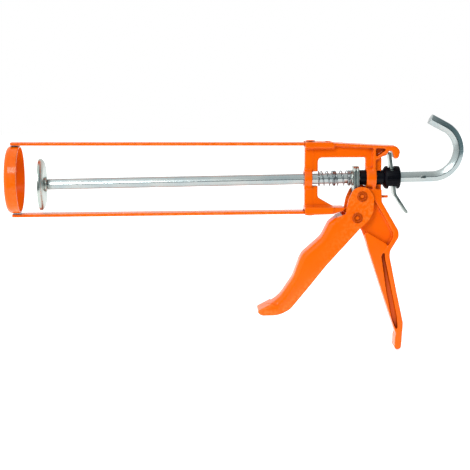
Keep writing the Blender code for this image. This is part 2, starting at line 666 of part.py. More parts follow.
def catch_lever(mat):
    """Bent plate that grips the rod. It rocks on its rounded top edge, in the body's socket."""
    half = LEVER_THICK / 2
    down = Vector((math.sin(LEVER_TILT), -math.cos(LEVER_TILT)))
    out = Vector((math.sin(LEVER_TILT + TAB_ANGLE), -math.cos(LEVER_TILT + TAB_ANGLE)))
    top = Vector(SOCKET) - down * LEVER_TOP
    bend = top + down * LEVER_LENGTH
    tip = bend + out * TAB_LENGTH
    side = Vector((down.y, -down.x)) * half
    tab_side = Vector((out.y, -out.x)) * half
    corners = [(*(top + side), 0.9), (*(bend + side), 4), (*(tip + tab_side), 1)]
    corners += [(*(tip - tab_side), 1), (*(bend - side), 2), (*(top - side), 0.9)]
    lever = plate("lever", corners, -TAB_WIDTH / 2, TAB_WIDTH / 2)
    x0, x1 = SOCKET[0] - 6, SOCKET[0] + 12
    edge = LEVER_WIDTH / 2
    narrow = [
        block("side", x0, x1, -TAB_WIDTH, -edge, -12.5, 30),
        block("side", x0, x1, edge, TAB_WIDTH, -12.5, 30),
    ]
    along = (SOCKET[1] - 0.15) / math.cos(LEVER_TILT)
    middle = Vector(SOCKET) + down * along
    back = middle - Vector((math.cos(LEVER_TILT), math.sin(LEVER_TILT))) * 8
    hole = cylinder(
        "hole", (back.x, 0, back.y), (math.cos(LEVER_TILT), 0, math.sin(LEVER_TILT)), PLATE_HOLE_R, 16
    )
    made = combine(lever, [*narrow, hole], "DIFFERENCE")
    return finish(made, "catch_lever", mat, (SOCKET[0], 0, SOCKET[1]))


clear_scene()
orange = material("orange_paint", (0.95, 0.13, 0.005), 0.35, 0.0)
zinc = material("zinc_steel", (0.62, 0.68, 0.7), 0.3, 1.0)
steel = material("spring_steel", (0.5, 0.53, 0.55), 0.3, 1.0)
black = material("black_nylon", (0.006, 0.007, 0.012), 0.45, 0.0)

body_casting(orange)
front_ring(orange)
for word, way in (("top", 1), ("bottom", -1)):
    frame_strip("frame_strip_" + word, way, orange)
    strip_rivet("strip_rivet_" + word, way, orange)
trigger(orange)
hollow_rivet("pivot_rivet", PIVOT, CHEEK, orange, (PIVOT[0], 0, PIVOT[1]))
hollow_rivet("drive_rivet", PIN, CHEEK, orange, (PIN[0], 0, PIN[1]))
roller_half = CHEEK_GAP / 2 - GAP
roller = turned(
    "drive_roller",
    [(-roller_half, SHANK_R + GAP), (-roller_half, ROLLER_R), (roller_half, ROLLER_R)]
    + [(roller_half, SHANK_R + GAP)],
    (PIN[0], 0, PIN[1]),
    (0, 1, 0),
    28,
)
finish(roller, "drive_roller", zinc, (PIN[0], 0, PIN[1]))
drive_plate("drive_plate_front", PLATE_FRONT_X, PLATE_REAR_X, FRONT_PLATE_END, zinc)
drive_plate("drive_plate_rear", REAR_PLATE_X, REAR_PLATE_END, REAR_PLATE_END_Z, zinc)
seat_x = PLATE_FRONT_X - GAP - SEAT_THICK
washer("main_spring_washer", seat_x, SEAT_THICK, MAIN_SPRING_R + 0.5, PLATE_HOLE_R, zinc)
main_turns = [(0.5, 0.5), (4.6, 2.5), (1.1, 1.1), (4.2, 1.9), (1.0, 1.0)]
spring("main_spring", MAIN_SPRING_X, seat_x - GAP, MAIN_SPRING_R, main_turns, steel)
catch_housing(black)
spring("catch_spring", POCKET_X + 0.2, POCKET_END - 0.4, CATCH_SPRING_R, [(1, 1.9)], steel, CATCH_WIRE)
catch_lever(zinc)
push_rod(zinc)
washer("disc_collar", DISC_REAR_X + GAP, COLLAR_THICK, COLLAR_R, NOSE_R + GAP, zinc)
piston_disc(zinc)
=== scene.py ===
import json
import math

import bmesh
import bpy
from mathutils import Matrix, Vector


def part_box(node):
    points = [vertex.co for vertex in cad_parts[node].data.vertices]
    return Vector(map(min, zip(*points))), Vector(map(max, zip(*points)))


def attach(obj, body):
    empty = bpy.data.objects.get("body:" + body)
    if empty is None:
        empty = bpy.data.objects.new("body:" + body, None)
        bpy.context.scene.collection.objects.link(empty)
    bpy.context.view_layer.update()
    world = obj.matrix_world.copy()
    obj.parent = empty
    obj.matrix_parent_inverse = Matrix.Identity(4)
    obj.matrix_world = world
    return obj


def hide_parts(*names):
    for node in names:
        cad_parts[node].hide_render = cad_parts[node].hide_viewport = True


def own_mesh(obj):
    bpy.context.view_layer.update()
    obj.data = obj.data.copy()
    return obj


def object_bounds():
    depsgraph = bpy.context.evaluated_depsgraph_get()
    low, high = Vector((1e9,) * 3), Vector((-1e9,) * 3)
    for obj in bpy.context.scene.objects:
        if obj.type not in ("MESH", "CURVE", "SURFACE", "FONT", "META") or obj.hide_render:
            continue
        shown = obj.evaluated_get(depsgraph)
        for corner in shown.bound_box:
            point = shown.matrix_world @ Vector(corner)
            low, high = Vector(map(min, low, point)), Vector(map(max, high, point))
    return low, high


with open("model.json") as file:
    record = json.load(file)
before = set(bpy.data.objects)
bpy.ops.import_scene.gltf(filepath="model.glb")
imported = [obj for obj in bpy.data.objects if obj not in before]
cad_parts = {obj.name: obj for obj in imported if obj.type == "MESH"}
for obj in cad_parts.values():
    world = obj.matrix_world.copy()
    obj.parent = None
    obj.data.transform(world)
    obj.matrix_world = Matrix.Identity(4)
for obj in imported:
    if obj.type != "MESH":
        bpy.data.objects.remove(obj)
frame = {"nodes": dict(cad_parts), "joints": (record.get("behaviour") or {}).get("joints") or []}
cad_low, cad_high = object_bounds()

# ---------------------------------------------------------------------------------------------
# Body and handle. One aluminium die casting, painted orange: a front wall with a boss for the
# rod, lugs for the strips, a spring window, a rear wall, a ribbed top flange and the handle.
# The casting's inner corners are filleted and its edges are soft under the paint.

MM = 0.001


def texture(nodes, links, kind, scale, detail, stretch=(1, 1, 1)):
    """A procedural texture on Object coordinates. Its size is in features per metre."""
    place = nodes.new("ShaderNodeTexCoord")
    mapping = nodes.new("ShaderNodeMapping")
    mapping.inputs["Scale"].default_value = stretch
    noise = nodes.new(kind)
    noise.inputs["Scale"].default_value = scale
    if "Detail" in noise.inputs:
        noise.inputs["Detail"].default_value = detail
    links.new(place.outputs["Object"], mapping.inputs["Vector"])
    links.new(mapping.outputs["Vector"], noise.inputs["Vector"])
    return noise


def spread(nodes, links, value, low, high, first, last):
    """Maps the span low..high of a value onto first..last."""
    ramp = nodes.new("ShaderNodeMapRange")
    for name, number in zip(("From Min", "From Max", "To Min", "To Max"), (low, high, first, last)):
        ramp.inputs[name].default_value = number
    links.new(value, ramp.inputs["Value"])
    return ramp.outputs["Result"]


def blend_colours(nodes, links, factor, first, last):
    """first and last are colours, or the socket that carries one."""
    mix = nodes.new("ShaderNodeMix")
    mix.data_type = "RGBA"
    links.new(factor, mix.inputs["Factor"])
    for socket, colour in ((mix.inputs["A"], first), (mix.inputs["B"], last)):
        if isinstance(colour, tuple):
            socket.default_value = (*colour, 1)
        else:
            links.new(colour, socket)
    return mix.outputs["Result"]


def bump(nodes, links, height, strength, distance, below=None):
    made = nodes.new("ShaderNodeBump")
    made.inputs["Strength"].default_value = strength
    made.inputs["Distance"].default_value = distance
    links.new(height, made.inputs["Height"])
    if below is not None:
        links.new(below, made.inputs["Normal"])
    return made.outputs["Normal"]


def paint(name, grain):
    """Stoved orange paint: a little thinner and paler on edges, with orange peel and fine specks, and
    painted shade in the hollows and where two surfaces stand close.
    """
    mat = bpy.data.materials.new(name)
    mat.use_nodes = True
    nodes, links = mat.node_tree.nodes, mat.node_tree.links
    shader = nodes["Principled BSDF"]
    deep_orange = (0.93, 0.130, 0.0010)
    bright_orange = (0.96, 0.140, 0.0012)
    worn_orange = (1.0, 0.27, 0.05)
    # The next colour is the dark of the hollows: grime together with painted shade.
    grime_and_shade_brown = (0.28, 0.012, 0.0)
    # The next colour is painted shade, for where surfaces stand close together.
    painted_shade_brown = (0.20, 0.012, 0.0)

    drift = texture(nodes, links, "ShaderNodeTexNoise", 38, 3)
    drifting = spread(nodes, links, drift.outputs["Fac"], 0.35, 0.68, 0, 1)
    colour = blend_colours(nodes, links, drifting, deep_orange, bright_orange)

    # Thin and paler on the ridges where the paint wears, and darker in the hollows, both in patches; the
    # dark in the hollows is grime and painted shade.
    ridge = nodes.new("ShaderNodeNewGeometry").outputs["Pointiness"]
    patch = texture(nodes, links, "ShaderNodeTexNoise", 420, 4)
    thin = nodes.new("ShaderNodeMath")
    thin.operation = "MULTIPLY"
    links.new(spread(nodes, links, ridge, 0.52, 0.60, 0, 0.55), thin.inputs[0])
    links.new(spread(nodes, links, patch.outputs["Fac"], 0.42, 0.62, 0, 1), thin.inputs[1])
    colour = blend_colours(nodes, links, thin.outputs["Value"], colour, worn_orange)
    grime_and_shade = nodes.new("ShaderNodeMath")
    grime_and_shade.operation = "MULTIPLY"
    links.new(spread(nodes, links, ridge, 0.49, 0.42, 0, 0.6), grime_and_shade.inputs[0])
    links.new(spread(nodes, links, patch.outputs["Fac"], 0.3, 0.6, 0.4, 1), grime_and_shade.inputs[1])
    colour = blend_colours(nodes, links, grime_and_shade.outputs["Value"], colour, grime_and_shade_brown)

    # Painted shade: darker where two surfaces stand close together, as if in shadow.
    painted_shade_ao = nodes.new("ShaderNodeAmbientOcclusion")
    painted_shade_ao.inputs["Distance"].default_value = 5 * MM
    shade = spread(nodes, links, painted_shade_ao.outputs["AO"], 0.80, 0.35, 0, 0.85)
    colour = blend_colours(nodes, links, shade, colour, painted_shade_brown)
    links.new(colour, shader.inputs["Base Color"])

    rough = spread(nodes, links, drift.outputs["Fac"], 0.3, 0.7, 0.17, 0.25)
    links.new(rough, shader.inputs["Roughness"])
    shader.inputs["Specular IOR Level"].default_value = 0.08
    shader.inputs["Coat Weight"].default_value = 0.22
    shader.inputs["Coat Roughness"].default_value = 0.12
    peel = texture(nodes, links, "ShaderNodeTexNoise", 620, 2)
    fine = texture(nodes, links, "ShaderNodeTexNoise", 2600, 3)
    normal = bump(nodes, links, peel.outputs["Fac"], 0.05, 0.0002)
    normal = bump(nodes, links, fine.outputs["Fac"], grain, 0.0001, normal)
    links.new(normal, shader.inputs["Normal"])
    return mat


cast_paint = paint("orange_on_casting", 0.5)
sheet_paint = paint("orange_on_sheet", 0.18)


def finish(bm, name, mat, body, stands_for, crease=38):
    """Makes the bmesh a piece: merged, normals outward, smooth but for its creases."""
    bmesh.ops.remove_doubles(bm, verts=bm.verts, dist=2e-6)
    bmesh.ops.recalc_face_normals(bm, faces=bm.faces)
    mesh = bpy.data.meshes.new(name)
    bm.to_mesh(mesh)
    bm.free()
    mesh.shade_smooth()
    mesh.set_sharp_from_angle(angle=math.radians(crease))
    obj = bpy.data.objects.new(name, mesh)
    bpy.context.collection.objects.link(obj)
    mesh.materials.append(mat)
    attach(obj, body)
    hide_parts(*stands_for)
    return obj


def applied(obj):
    """The mesh that the object's modifiers make."""
    graph = bpy.context.evaluated_depsgraph_get()
    return bpy.data.meshes.new_from_object(obj.evaluated_get(graph))


def cut(bm, tool):
    """Takes the tool's solid out of bm's. Both are used up."""
    pair = []
    for solid in (bm, tool):
        mesh = bpy.data.meshes.new("solid")
        solid.to_mesh(mesh)
        solid.free()
        pair.append(bpy.data.objects.new("solid", mesh))
        bpy.context.collection.objects.link(pair[-1])
    difference = pair[0].modifiers.new("Cut", "BOOLEAN")
    difference.operation = "DIFFERENCE"
    difference.object = pair[1]
    made = bmesh.new()
    made.from_mesh(applied(pair[0]))
    for obj in pair:
        bpy.data.objects.remove(obj)
    return made


def soft_casting(node, voxel, rounds):
    """The casting's solid with filleted corners and rounded edges, as paint over a rough casting has."""
    bm = bmesh.new()
    bm.from_mesh(frame["nodes"][node].data)
    bmesh.ops.remove_doubles(bm, verts=bm.verts, dist=2e-6)
    mesh = bpy.data.meshes.new(node + "_solid")
    bm.to_mesh(mesh)
    bm.free()
    obj = bpy.data.objects.new(node + "_solid", mesh)
    bpy.context.collection.objects.link(obj)
    remesh = obj.modifiers.new("Voxels", "REMESH")
    remesh.mode = "VOXEL"
    remesh.voxel_size = voxel
    smooth = obj.modifiers.new("Fillets", "SMOOTH")
    smooth.factor = 0.5
    smooth.iterations = rounds
    thin = obj.modifiers.new("Thin", "DECIMATE")
    thin.ratio = 0.5
    soft = applied(obj)
    bpy.data.objects.remove(obj)
    made = bmesh.new()
    made.from_mesh(soft)
    return made


finish(
    soft_casting("body_casting", 0.6 * MM, 5), "painted_body", cast_paint, "frame",
    ["body_casting"], crease=80,
)


# ---------------------------------------------------------------------------------------------
# Front ring. A cup pressed from sheet steel, with a rolled front corner and an inward flange,
# spot-welded between the two strips.

ring_low, ring_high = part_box("front_ring")


def spun(profile, at, axis, steps):
    """Turns a closed (distance along the axis, radius) profile into a ring or a solid."""
    bm = bmesh.new()
    verts = [bm.verts.new((along, 0, radius)) for along, radius in profile]
    ends = list(zip(verts, verts[1:]))
    if profile[0][1] > 1e-9 or profile[-1][1] > 1e-9:
        ends.append((verts[-1], verts[0]))
    edges = [bm.edges.new(pair) for pair in ends]
    bmesh.ops.spin(
        bm, geom=verts + edges, cent=(0, 0, 0), axis=(1, 0, 0),
        angle=2 * math.pi, steps=steps, use_merge=True,
    )
    bmesh.ops.remove_doubles(bm, verts=bm.verts, dist=2e-6)
    bmesh.ops.recalc_face_normals(bm, faces=bm.faces)
    turn = Vector((1, 0, 0)).rotation_difference(Vector(axis)).to_matrix().to_4x4()
    bmesh.ops.transform(bm, matrix=Matrix.Translation(at) @ turn, verts=bm.verts)
    return bm


def soften(bm, width, segments=2, sharper_than=32):
    """Bevels every edge that bends by more than the angle."""
    bmesh.ops.remove_doubles(bm, verts=bm.verts, dist=2e-6)
    bmesh.ops.recalc_face_normals(bm, faces=bm.faces)
    least = math.radians(sharper_than)
    sharp = [e for e in bm.edges if len(e.link_faces) == 2 and e.calc_face_angle() > least]
    bmesh.ops.bevel(
        bm, geom=sharp, offset=width, segments=segments, profile=0.5, affect="EDGES", material=-1,
        clamp_overlap=True,
    )
    return bm


def corner_arc(along, radius, bend, start, turn, count):
    """Profile points round a corner whose centre is at (along, radius)."""
    steps = [math.radians(start + turn * k / count) for k in range(count + 1)]
    return [(along + bend * math.cos(a), radius + bend * math.sin(a)) for a in steps]


ring_radius = (ring_high.z - ring_low.z) / 2
ring_depth = ring_high.x - ring_low.x
ring_wall = 1.3 * MM
ring_corner = 3.6 * MM
ring_hole = 19.5 * MM
centre_radius = ring_radius - ring_corner
cup = [(0, ring_hole + 0.5 * MM), (0, centre_radius)]
cup += corner_arc(ring_corner, centre_radius, ring_corner, 180, -90, 8)[1:]
cup += [(ring_depth - 0.4 * MM, ring_radius), (ring_depth, ring_radius - 0.4 * MM)]
cup += [(ring_depth, ring_radius - ring_wall + 0.2 * MM), (ring_depth - 0.2 * MM, ring_radius - ring_wall)]
cup += corner_arc(ring_corner, centre_radius, ring_corner - ring_wall, 90, 90, 8)
cup += [(ring_wall, ring_hole + 0.3 * MM), (ring_wall - 0.4 * MM, ring_hole), (0.4 * MM, ring_hole)]
ring_at = Vector((ring_low.x, 0, (ring_low.z + ring_high.z) / 2))
ring_bm = spun(cup, ring_at, (1, 0, 0), 120)
finish(ring_bm, "painted_ring", sheet_paint, "frame", ["front_ring"])


# ---------------------------------------------------------------------------------------------
# Frame strips. Two flat steel strips, sheared to length, with the ring welded between their
# front ends and their rear ends in the body's lugs. Their long edges are slightly rounded.

barrel_z = ring_at.z


def strip(name, node, side):
    low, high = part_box(node)
    bm = bmesh.new()
    bmesh.ops.create_cube(bm, size=1)
    thick = 2.2 * MM
    front_z = (high.z if side > 0 else low.z) - side * thick / 2
    rear_z = (low.z if side > 0 else high.z) + side * thick / 2
    size = Matrix.Diagonal((high.x - low.x, high.y - low.y, thick, 1))
    bmesh.ops.transform(bm, matrix=size, verts=bm.verts)
    middle_x = (low.x + high.x) / 2
    for vert in bm.verts:
        share = vert.co.x / (high.x - low.x) + 0.5
        vert.co.z += front_z + (rear_z - front_z) * share
        vert.co.x += middle_x
    corners = []
    for edge in bm.edges:
        ahead = all(v.co.x < middle_x for v in edge.verts)
        if ahead and abs(edge.verts[0].co.y - edge.verts[1].co.y) < 1e-6:
            corners.append(edge)
    bmesh.ops.bevel(bm, geom=corners, offset=1.6 * MM, segments=4, profile=0.5, affect="EDGES", material=-1)
    soften(bm, 0.35 * MM, 3)
    finish(bm, name, sheet_paint, "frame", [node])


strip("painted_strip_top", "frame_strip_top", 1)
strip("painted_strip_bottom", "frame_strip_bottom", -1)

for side_name, side in (("top", 1), ("bottom", -1)):
    low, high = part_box("strip_rivet_" + side_name)
    height = high.z - low.z
    head = [(0, 0), (0, 1.5 * MM), (height - 0.9 * MM, 1.5 * MM), (height - 0.9 * MM, 3.8 * MM)]
    head += [(height - 0.7 * MM, 3.9 * MM), (height - 0.35 * MM, 3.4 * MM), (height - 0.1 * MM, 2.2 * MM)]
    head += [(height, 0)]
    at = Vector(((low.x + high.x) / 2, 0, low.z if side > 0 else high.z))
    finish(
        spun(head, at, (0, 0, side), 40), "strip_rivet_head_" + side_name, sheet_paint, "frame",
        ["strip_rivet_" + side_name],
    )


# ---------------------------------------------------------------------------------------------
# Trigger. Pressed from 1.6 mm sheet as a channel that is open at the rear, with a round front
# that the fingers wrap and two flat ears that straddle the body. Painted with the body.

joints = {joint["name"]: joint for joint in frame["joints"]}
pivot = Vector(joints["trigger_pull"]["pos_m"])
pin = Vector(joints["roller_spin"]["pos_m"])
sheet = 1.6 * MM
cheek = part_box("trigger")[1].y


def filleted(corners, step=6):
    """Outline points from corners (x, z, fillet radius), with the round stretches as arcs."""
    points = []
    for i, (x, z, radius) in enumerate(corners):
        here = Vector((x, z))
        back = Vector(corners[i - 1][:2]) - here
        ahead = Vector(corners[(i + 1) % len(corners)][:2]) - here
        half = back.angle(ahead) / 2
        if radius <= 0:
            points.append(here)
            continue
        reach = min(radius / math.tan(half), 0.49 * min(back.length, ahead.length))
        radius = reach * math.tan(half)
        centre = here + (back.normalized() + ahead.normalized()).normalized() * radius / math.sin(half)
        start = here + back.normalized() * reach - centre
        turn = start.angle_signed(here + ahead.normalized() * reach - centre)
        steps = max(2, math.ceil(abs(math.degrees(turn)) / step))
        for k in range(steps + 1):
            points.append(centre + Matrix.Rotation(-turn * k / steps, 2) @ start)
    return points


def slab(points, half, at=(0, 0, 0)):
    """A flat outline in the XZ plane, thickened to both sides of the mid-plane. Sizes are in mm."""
    bm = bmesh.new()
    verts = [bm.verts.new((at[0] + x * MM, at[1] - half, at[2] + z * MM)) for x, z in points]
    face = bm.faces.new(verts)
    moved = bmesh.ops.extrude_face_region(bm, geom=[face])
    fresh = [v for v in moved["geom"] if isinstance(v, bmesh.types.BMVert)]
    bmesh.ops.translate(bm, vec=(0, 2 * half, 0), verts=fresh)
    bmesh.ops.recalc_face_normals(bm, faces=bm.faces)
    return bm


# Corners are measured from the pivot, in mm, up the front, over the ears and down the rear.
front_edge = [(-78.9, -74.0, 2), (-61.5, -64.8, 26), (-50.0, -47.7, 24), (-43.5, -29.6, 16)]
front_edge += [(-27.8, -15.6, 14), (-21.6, -3.5, 8), (-15.4, 0.6, 4)]
ears = [(-9.2, 3.0, 1.5), (-7.2, 14.0, 10), (-2.8, 24.2, 8), (8.2, 24.3, 8), (13.2, 16.5, 8)]
rear_edge = [(12.4, 5.0, 9), (9.6, -1.2, 6), (2.4, -8.3, 3), (-24.4, -38.0, 60), (-36.3, -53.0, 30)]
rear_edge += [(-52.3, -72.5, 14), (-61.2, -77.2, 20), (-75.1, -77.4, 6)]


def round_front(bm, half, radius, segments):
    """Rounds the two long edges of the sheet's front, from above its tip to below its top edge."""
    tip_z = -69.9 * MM
    top_x = -15.9 * MM
    rim = []
    for edge in bm.edges:
        middle = (edge.verts[0].co + edge.verts[1].co) / 2 - pivot
        level = abs(edge.verts[0].co.y - edge.verts[1].co.y) < 1e-6
        at_side = abs(abs(middle.y) - half) < 1e-5
        between = middle.x < top_x and middle.z > tip_z
        facing = any(f.normal.x < -0.15 and f.normal.z > -0.3 for f in edge.link_faces)
        if level and at_side and between and facing:
            rim.append(edge)
    bmesh.ops.bevel(
        bm, geom=rim, offset=radius, segments=segments, profile=0.5, affect="EDGES", material=-1
    )
    return bm


channel = round_front(slab(filleted(front_edge + ears + rear_edge), cheek, pivot), cheek, 4.2 * MM, 7)
inner_edge = [(-74.2, -73.2, 1)] + [(x + 2.0, z - 1.5, radius) for x, z, radius in front_edge[1:]]
inner_edge += [(-11.6, -0.6, 0), (-11.6, 11.6, 0), (-8.4, 29.6, 0), (23.6, 29.6, 0), (23.6, -8.4, 0)]
inner_edge += [(-12.4, -46.4, 0), (-37.4, -80.4, 0), (-62.4, -90.4, 0), (-72.8, -76.8, 3)]
hollow = round_front(slab(filleted(inner_edge), cheek - sheet, pivot), cheek - sheet, 2.6 * MM, 7)
trigger_bm = soften(cut(channel, hollow), 0.3 * MM, 2, 50)
finish(trigger_bm, "painted_trigger", sheet_paint, "trigger", ["trigger"], crease=50)


# ---------------------------------------------------------------------------------------------
# Trigger rivets. Tubular steel rivets with a rolled head on each side, painted over. One is the
# trigger's pivot in the body, the other carries the roller that drives the plates.

def tubular_rivet(name, node, at, body):
    low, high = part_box(node)
    half = high.y
    shank = 2.4 * MM
    face = half - 1.4 * MM
    side = [(face - 2.2 * MM, 0), (face - 2.2 * MM, 1.3 * MM), (face + 0.4 * MM, 1.6 * MM)]
    side += corner_arc(face + 0.7 * MM, 2.3 * MM, 0.7 * MM, 200, -150, 10)
    side += [(face + 0.1 * MM, 3.1 * MM), (face - 0.1 * MM, 3.4 * MM), (face + 0.1 * MM, 3.7 * MM)]
    side += corner_arc(face + 0.15 * MM, 4.0 * MM, 0.35 * MM, 120, -120, 6)
    side += [(face - 0.3 * MM, 4.3 * MM), (face - 0.3 * MM, shank)]
    other = [(-along, radius) for along, radius in reversed(side)]
    finish(spun(side + other, at, (0, 1, 0), 48), name, sheet_paint, body, [node])


tubular_rivet("pivot_rivet_heads", "pivot_rivet", pivot, "frame")
tubular_rivet("drive_rivet_heads", "drive_rivet", pin, "trigger")


# ---------------------------------------------------------------------------------------------
# Push rod. Cold drawn 8 mm hexagonal steel bar, zinc plated, bent cold into the pull hook and
# sheared at the end. Two ears pinched out of its sides stop it in the bush.

rod_axis = Vector(joints["rod_slide"]["axis"])
droop = math.atan2(-rod_axis.z, -rod_axis.x)
rod_turn = Vector((-6.0 * MM, 0, barrel_z))
along_rod = Matrix.Translation(rod_turn) @ Matrix.Rotation(-droop, 4, "Y")


def plated(name, cool, warm, rough_low, rough_high, stretch):
    """Bright zinc plate over steel: faint blue and straw tints, drawing lines and a little bloom."""
    mat = bpy.data.materials.new(name)
    mat.use_nodes = True
    nodes, links = mat.node_tree.nodes, mat.node_tree.links
    shader = nodes["Principled BSDF"]
    shader.inputs["Metallic"].default_value = 1
    tint = texture(nodes, links, "ShaderNodeTexNoise", 60, 3)
    colour = blend_colours(
        nodes, links, spread(nodes, links, tint.outputs["Fac"], 0.35, 0.65, 0, 1), cool, warm
    )
    lines = texture(nodes, links, "ShaderNodeTexNoise", 900, 4, stretch)
    spots = texture(nodes, links, "ShaderNodeTexNoise", 1300, 5)
    dull = spread(nodes, links, spots.outputs["Fac"], 0.58, 0.72, 0, 0.35)
    colour = blend_colours(nodes, links, dull, colour, tuple(0.62 * c for c in cool))
    links.new(colour, shader.inputs["Base Color"])
    rough = spread(nodes, links, lines.outputs["Fac"], 0.3, 0.7, rough_low, rough_high)
    links.new(rough, shader.inputs["Roughness"])
    normal = bump(nodes, links, lines.outputs["Fac"], 0.22, 0.00006)
    normal = bump(nodes, links, spots.outputs["Fac"], 0.18, 0.00005, normal)
    links.new(normal, shader.inputs["Normal"])
    return mat


rod_zinc = plated("zinc_on_rod", (0.37, 0.43, 0.44), (0.45, 0.48, 0.47), 0.16, 0.32, (0.03, 1, 1))
part_zinc = plated("zinc_on_plates", (0.42, 0.49, 0.46), (0.50, 0.53, 0.49), 0.24, 0.40, (1, 1, 0.15))
spring_wire = plated("zinc_on_wire", (0.26, 0.29, 0.30), (0.34, 0.36, 0.37), 0.18, 0.32, (1, 1, 1))

flats = 8.0 * MM
corner = flats / 2 / math.cos(math.radians(30))
nose_x = -260.4 * MM
ear_x = 33 * MM
bend_x = 40.6 * MM
bend_radius = 20.6 * MM
bend_angle = math.radians(151)
tail_length = 13.5 * MM
rod_bm = bmesh.new()
bmesh.ops.create_circle(rod_bm, cap_ends=False, segments=6, radius=corner)
across = Matrix.Rotation(math.radians(90), 4, "Y")
bmesh.ops.transform(rod_bm, matrix=Matrix.Translation((nose_x, 0, 0)) @ across, verts=rod_bm.verts)


def extend(bm, edges, move):
    """Draws open edges out along a vector and returns the far ones."""
    drawn = bmesh.ops.extrude_edge_only(bm, edges=edges)["geom"]
    verts = [v for v in drawn if isinstance(v, bmesh.types.BMVert)]
    bmesh.ops.translate(bm, vec=move, verts=verts)
    return [e for e in drawn if isinstance(e, bmesh.types.BMEdge)]


nose_edges = list(rod_bm.edges)
rod_edges = nose_edges
stretches = 24
for k in range(stretches):
    rod_edges = extend(rod_bm, rod_edges, ((bend_x - nose_x) / stretches, 0, 0))
bent = bmesh.ops.spin(
    rod_bm, geom=rod_edges, cent=(bend_x, 0, bend_radius), axis=(0, -1, 0), angle=bend_angle,
    steps=40,
)
rod_edges = [e for e in bent["geom_last"] if isinstance(e, bmesh.types.BMEdge)]
tail = Vector((math.cos(bend_angle), 0, math.sin(bend_angle))) * tail_length
rod_edges = extend(rod_bm, rod_edges, tail)
bmesh.ops.contextual_create(rod_bm, geom=rod_edges)
bmesh.ops.contextual_create(rod_bm, geom=nose_edges)
soften(rod_bm, 0.55 * MM, 3)

nose = spun(
    [(0, 0), (0, 2.1 * MM), (0.5 * MM, 2.6 * MM), (8.4 * MM, 2.6 * MM), (8.4 * MM, 0)],
    (nose_x - 5.6 * MM, 0, 0), (1, 0, 0), 32,
)
spare = bpy.data.meshes.new("spare")
nose.to_mesh(spare)
nose.free()
rod_bm.from_mesh(spare)
pinched = [(-2.6, -1.2, 0.8), (2.6, -1.2, 0.8), (1.6, 1.6, 0.8), (-1.6, 1.6, 0.8)]
for side in (-1, 1):
    ear = slab(filleted(pinched), 0.9 * MM, (ear_x, side * 4.5 * MM, 0))
    soften(ear, 0.35 * MM, 2)
    ear.to_mesh(spare)
    ear.free()
    rod_bm.from_mesh(spare)
bmesh.ops.transform(rod_bm, matrix=along_rod, verts=rod_bm.verts)
finish(rod_bm, "hex_rod", rod_zinc, "rod", ["push_rod"], crease=45)


# ---------------------------------------------------------------------------------------------
# Piston disc. Pressed from plate with its rim turned forward, held on the rod's turned nose by
# the riveted-over tip, with a thick collar behind it.

disc_x = nose_x - 2.6 * MM
disc = [(0, 2.9 * MM), (0, 6.6 * MM), (0.5 * MM, 8.2 * MM), (0.5 * MM, 16.8 * MM)]
disc += [(-0.3 * MM, 18.6 * MM), (-1.3 * MM, 19.8 * MM), (-1.7 * MM, 20.0 * MM)]
front_face = [(a - 1.8 * MM, r) for a, r in disc[:4]] + [(-2.6 * MM, 18.0 * MM), (-3.3 * MM, 19.2 * MM)]
disc = disc + [(-3.4 * MM, 19.9 * MM)] + list(reversed(front_face))
disc_bm = spun(disc, (disc_x, 0, 0), (1, 0, 0), 96)
bmesh.ops.transform(disc_bm, matrix=along_rod, verts=disc_bm.verts)
finish(disc_bm, "pressed_disc", part_zinc, "rod", ["piston_disc"], crease=50)

collar = [(0, 2.9 * MM), (0, 5.4 * MM), (0.4 * MM, 5.8 * MM), (1.6 * MM, 5.8 * MM), (2.0 * MM, 5.4 * MM)]
collar += [(2.0 * MM, 2.9 * MM)]
collar_bm = spun(collar, (disc_x + 0.3 * MM, 0, 0), (1, 0, 0), 48)
bmesh.ops.transform(collar_bm, matrix=along_rod, verts=collar_bm.verts)
finish(collar_bm, "rod_collar", part_zinc, "rod", ["disc_collar"])


# ---------------------------------------------------------------------------------------------
# Springs. The main spring is an open coil of drawn wire on the rod, with closed turns at its
# ends and its middle. The catch spring is a short coil in the bush's head.

def coil(name, node, low_x, radius, wire, runs, body):
    """runs are (length in mm, turns) stretches of the coil, one after another."""
    bm = bmesh.new()
    bmesh.ops.create_circle(bm, cap_ends=True, segments=10, radius=wire / 2)
    stand = Matrix.Translation((low_x, 0, radius)) @ Matrix.Rotation(math.radians(90), 4, "X")
    bmesh.ops.transform(bm, matrix=stand, verts=bm.verts)
    last = list(bm.faces) + list(bm.edges) + list(bm.verts)
    for length, turns in runs:
        steps = round(turns * 28)
        made = bmesh.ops.spin(
            bm, geom=last, cent=(0, 0, 0), axis=(1, 0, 0), angle=2 * math.pi * turns,
            steps=steps, dvec=(length * MM / steps, 0, 0),
        )
        last = made["geom_last"]
    bmesh.ops.transform(bm, matrix=along_rod, verts=bm.verts)
    return finish(bm, name, spring_wire, body, [node], crease=60)


# A closed end, an open run, closed turns in the middle, an open run and the other closed end.
spring_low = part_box("main_spring")[0]
spring_start = spring_low.x - rod_turn.x + 0.6 * MM
spring_runs = [(0.6, 0.6), (10.6, 2.4), (2.2, 2.1), (9.6, 2.0), (2.3, 2.0)]
open_coil = coil("open_spring", "main_spring", spring_start, 5.75 * MM, 1.0 * MM, spring_runs, "frame")
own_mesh(open_coil)

catch_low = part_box("catch_spring")[0]
catch_start = catch_low.x - rod_turn.x + 0.4 * MM
short_coil = coil("short_spring", "catch_spring", catch_start, 6.4 * MM, 0.7 * MM, [(2.2, 1.9)], "frame")
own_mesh(short_coil)


# ---------------------------------------------------------------------------------------------
# Drive plates, roller and washer. Two blanked steel plates stand on the rod. The roller on the
# trigger's pin pushes the long one, and both tip and grip. The washer seats the spring.

plate_hole = 5.1 * MM


